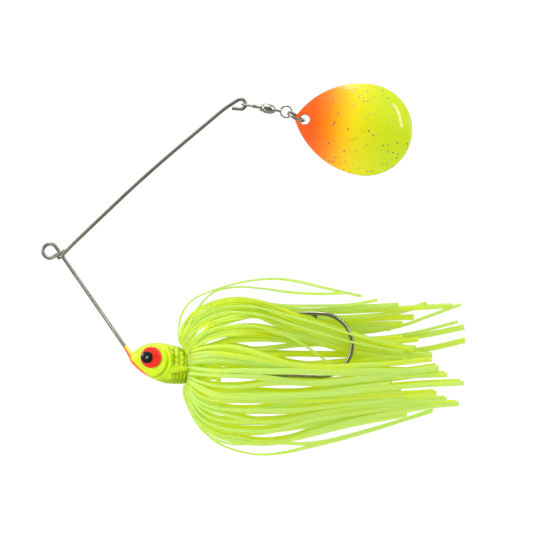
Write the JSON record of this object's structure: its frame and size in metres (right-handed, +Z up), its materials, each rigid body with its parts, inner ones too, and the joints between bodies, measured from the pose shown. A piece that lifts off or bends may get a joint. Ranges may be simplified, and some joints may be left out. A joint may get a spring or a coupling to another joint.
{
  "type": "spinnerbait",
  "caption": "Safety-pin wire fishing lure: painted lead head with hook and silicone strand skirt on one arm, spinning round blade on a barrel swivel on the other.",
  "frame": {"origin": "centre of the closed line-tie loop, in the plane of the wire", "axes": "+X runs back from the line tie to the skirt's tips, +Y is across the lure, away from the side whose blade face is convex, +Z is up towards the blade arm; the wire lies in XZ"},
  "size_m": [0.1063, 0.024, 0.0946],
  "materials": {
    "spring_wire": "satin",
    "black_nickel": "gloss",
    "head_paint": "gloss",
    "eye_red": "gloss",
    "eye_black": "gloss",
    "skirt_silicone": "satin",
    "band_rubber": "satin",
    "bright_nickel": "polished",
    "ring_nickel": "polished",
    "blade_paint": "gloss"
  },
  "bodies": {
    "lure": {"wire_frame": "spring_wire", "hook": "black_nickel", "head_casting": "head_paint", "eye_iris_near": "eye_red", "eye_iris_far": "eye_red", "eye_pupil_near": "eye_black", "eye_pupil_far": "eye_black", "skirt_band": "band_rubber", "skirt_bundle_top": "skirt_silicone", "skirt_bundle_bottom": "skirt_silicone", "skirt_bundle_near_upper": "skirt_silicone", "skirt_bundle_near_lower": "skirt_silicone", "skirt_bundle_far_upper": "skirt_silicone", "skirt_bundle_far_lower": "skirt_silicone"},
    "front_eye": {"swivel_eye_front": "bright_nickel"},
    "barrel": {"swivel_barrel": "bright_nickel"},
    "rear_eye": {"swivel_eye_rear": "bright_nickel"},
    "ring": {"split_ring": "ring_nickel"},
    "spinner": {"blade": "blade_paint"}
  },
  "joints": [
    {"name": "arm_loop_pivot", "type": "hinge", "parent": "lure", "child": "front_eye", "pos_m": [0.0486, 0, 0.03745], "axis": [0, -1, 0], "range_deg": [-55, 75]},
    {"name": "barrel_spin", "type": "hinge", "parent": "front_eye", "child": "barrel", "pos_m": [0.05402, 0, 0.03654], "axis": [0.9863, 0, -0.165], "continuous": true},
    {"name": "rear_eye_spin", "type": "hinge", "parent": "barrel", "child": "rear_eye", "pos_m": [0.05698, 0, 0.03605], "axis": [0.9863, 0, -0.165], "continuous": true},
    {"name": "ring_pivot", "type": "hinge", "parent": "rear_eye", "child": "ring", "pos_m": [0.0602, 0, 0.03551], "axis": [0, -1, 0], "range_deg": [-35, 60]},
    {"name": "blade_pivot", "type": "hinge", "parent": "ring", "child": "spinner", "pos_m": [0.06468, 0, 0.03312], "axis": [0, -1, 0], "range_deg": [-35, 40]}
  ]
}
